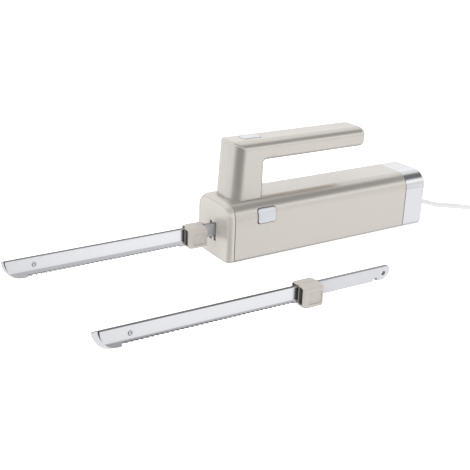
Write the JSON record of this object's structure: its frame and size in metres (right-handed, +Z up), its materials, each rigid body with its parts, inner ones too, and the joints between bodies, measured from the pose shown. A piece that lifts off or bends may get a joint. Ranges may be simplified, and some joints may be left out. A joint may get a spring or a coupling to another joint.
{
  "type": "electric carving knife",
  "caption": "Electric carving knife: a long rounded body with an arched top handle and a reciprocating serrated blade pair, a second pair beside it, and its mains lead.",
  "frame": {"origin": "centre of the long shell's flat base, on the surface the knife stands on", "axes": "+X to the rear, +Z up, -Y the side with the release button"},
  "size_m": [0.6274, 0.216, 0.1125],
  "materials": {
    "lacquer": "satin champagne metallic lacquer on a moulded shell",
    "chrome": "satin chrome plating",
    "steel": "bright drawn steel",
    "blade": "ground and polished stainless steel",
    "grip": "fine moulded grain",
    "lead": "soft white sheath",
    "dark_plastic": "moulded",
    "nylon": "moulded nylon",
    "iron": "oiled sheet iron",
    "copper": "enamelled copper",
    "board": "circuit board"
  },
  "bodies": {
    "housing": {"main_shell": "lacquer", "front_cap": "lacquer", "rear_cap": "chrome", "handle_shell": "lacquer", "handle_screws": "iron", "base_screws": "iron", "microswitch": "dark_plastic", "switch_spring": "steel", "chassis": "dark_plastic", "wheel_axle": "steel", "field_stack": "iron", "field_coils": "copper", "brushes": "dark_plastic", "bearing_front": "steel", "bearing_rear": "steel", "circuit_board": "board", "strain_relief": "lead", "cord": "lead", "cord_coil": "lead", "plug": "lead", "plug_pins": "steel"},
    "switch": {"switch_button": "chrome"},
    "release": {"release_button": "chrome", "release_spring": "steel"},
    "armature": {"motor_shaft": "steel", "armature_core": "iron", "commutator": "copper", "fan": "nylon"},
    "wheel": {"worm_wheel": "nylon"},
    "link_near": {"link_near": "nylon"},
    "link_far": {"link_far": "nylon"},
    "pair_near": {"blade_near": "blade", "grip_near": "grip", "tip_rivet": "steel"},
    "pair_far": {"blade_far": "blade", "grip_far": "grip"},
    "spare_near": {"spare_blade_near": "blade", "spare_grip_near": "grip", "spare_rivet": "steel"},
    "spare_far": {"spare_blade_far": "blade", "spare_grip_far": "grip"}
  },
  "joints": [
    {"name": "switch_press", "type": "slide", "parent": "housing", "child": "switch", "axis": [0, 0, -1], "range_m": [0, 0.0012], "stiffness_N_per_m": 600, "springref_m": -0.0006, "deforming": ["switch_spring"]},
    {"name": "release_press", "type": "slide", "parent": "housing", "child": "release", "axis": [0, 1, 0], "range_m": [0, 0.0025], "stiffness_N_per_m": 600, "springref_m": -0.0008},
    {"name": "armature_spin", "type": "hinge", "parent": "housing", "child": "armature", "pos_m": [0.041, 0, 0.031], "axis": [1, 0, 0], "range_deg": [-1440, 3960]},
    {"name": "wheel_spin", "type": "hinge", "parent": "housing", "child": "wheel", "pos_m": [-0.014, 0, 0.0154], "axis": [0, 1, 0], "range_deg": [-48, 132]},
    {"name": "link_near_stroke", "type": "slide", "parent": "housing", "child": "link_near", "axis": [1, 0, 0], "range_m": [-0.0016, 0.0044]},
    {"name": "link_far_stroke", "type": "slide", "parent": "housing", "child": "link_far", "axis": [1, 0, 0], "range_m": [-0.0044, 0.0016]},
    {"name": "pair_near_pull", "type": "slide", "parent": "link_near", "child": "pair_near", "axis": [-1, 0, 0], "range_m": [0, 0.074]},
    {"name": "pair_far_pull", "type": "slide", "parent": "link_far", "child": "pair_far", "axis": [-1, 0, 0], "range_m": [0, 0.074]},
    {"name": "spare_lift", "type": "slide", "parent": "housing", "child": "spare_near", "axis": [0, 0, 1], "range_m": [0, 0.1]},
    {"name": "spare_slide", "type": "slide", "parent": "spare_near", "child": "spare_far", "axis": [0.9997, -0.0262, 0], "range_m": [-0.006, 0.006]}
  ],
  "couplings": [
    {"joint": "wheel_spin", "follows": "armature_spin", "ratio": 0.033333},
    {"joint": "link_near_stroke", "follows": "armature_spin", "m_per_rad": 0.00006366},
    {"joint": "link_far_stroke", "follows": "armature_spin", "m_per_rad": -0.00006366},
    {"joint": "pair_far_pull", "follows": "pair_near_pull", "ratio": 1}
  ]
}
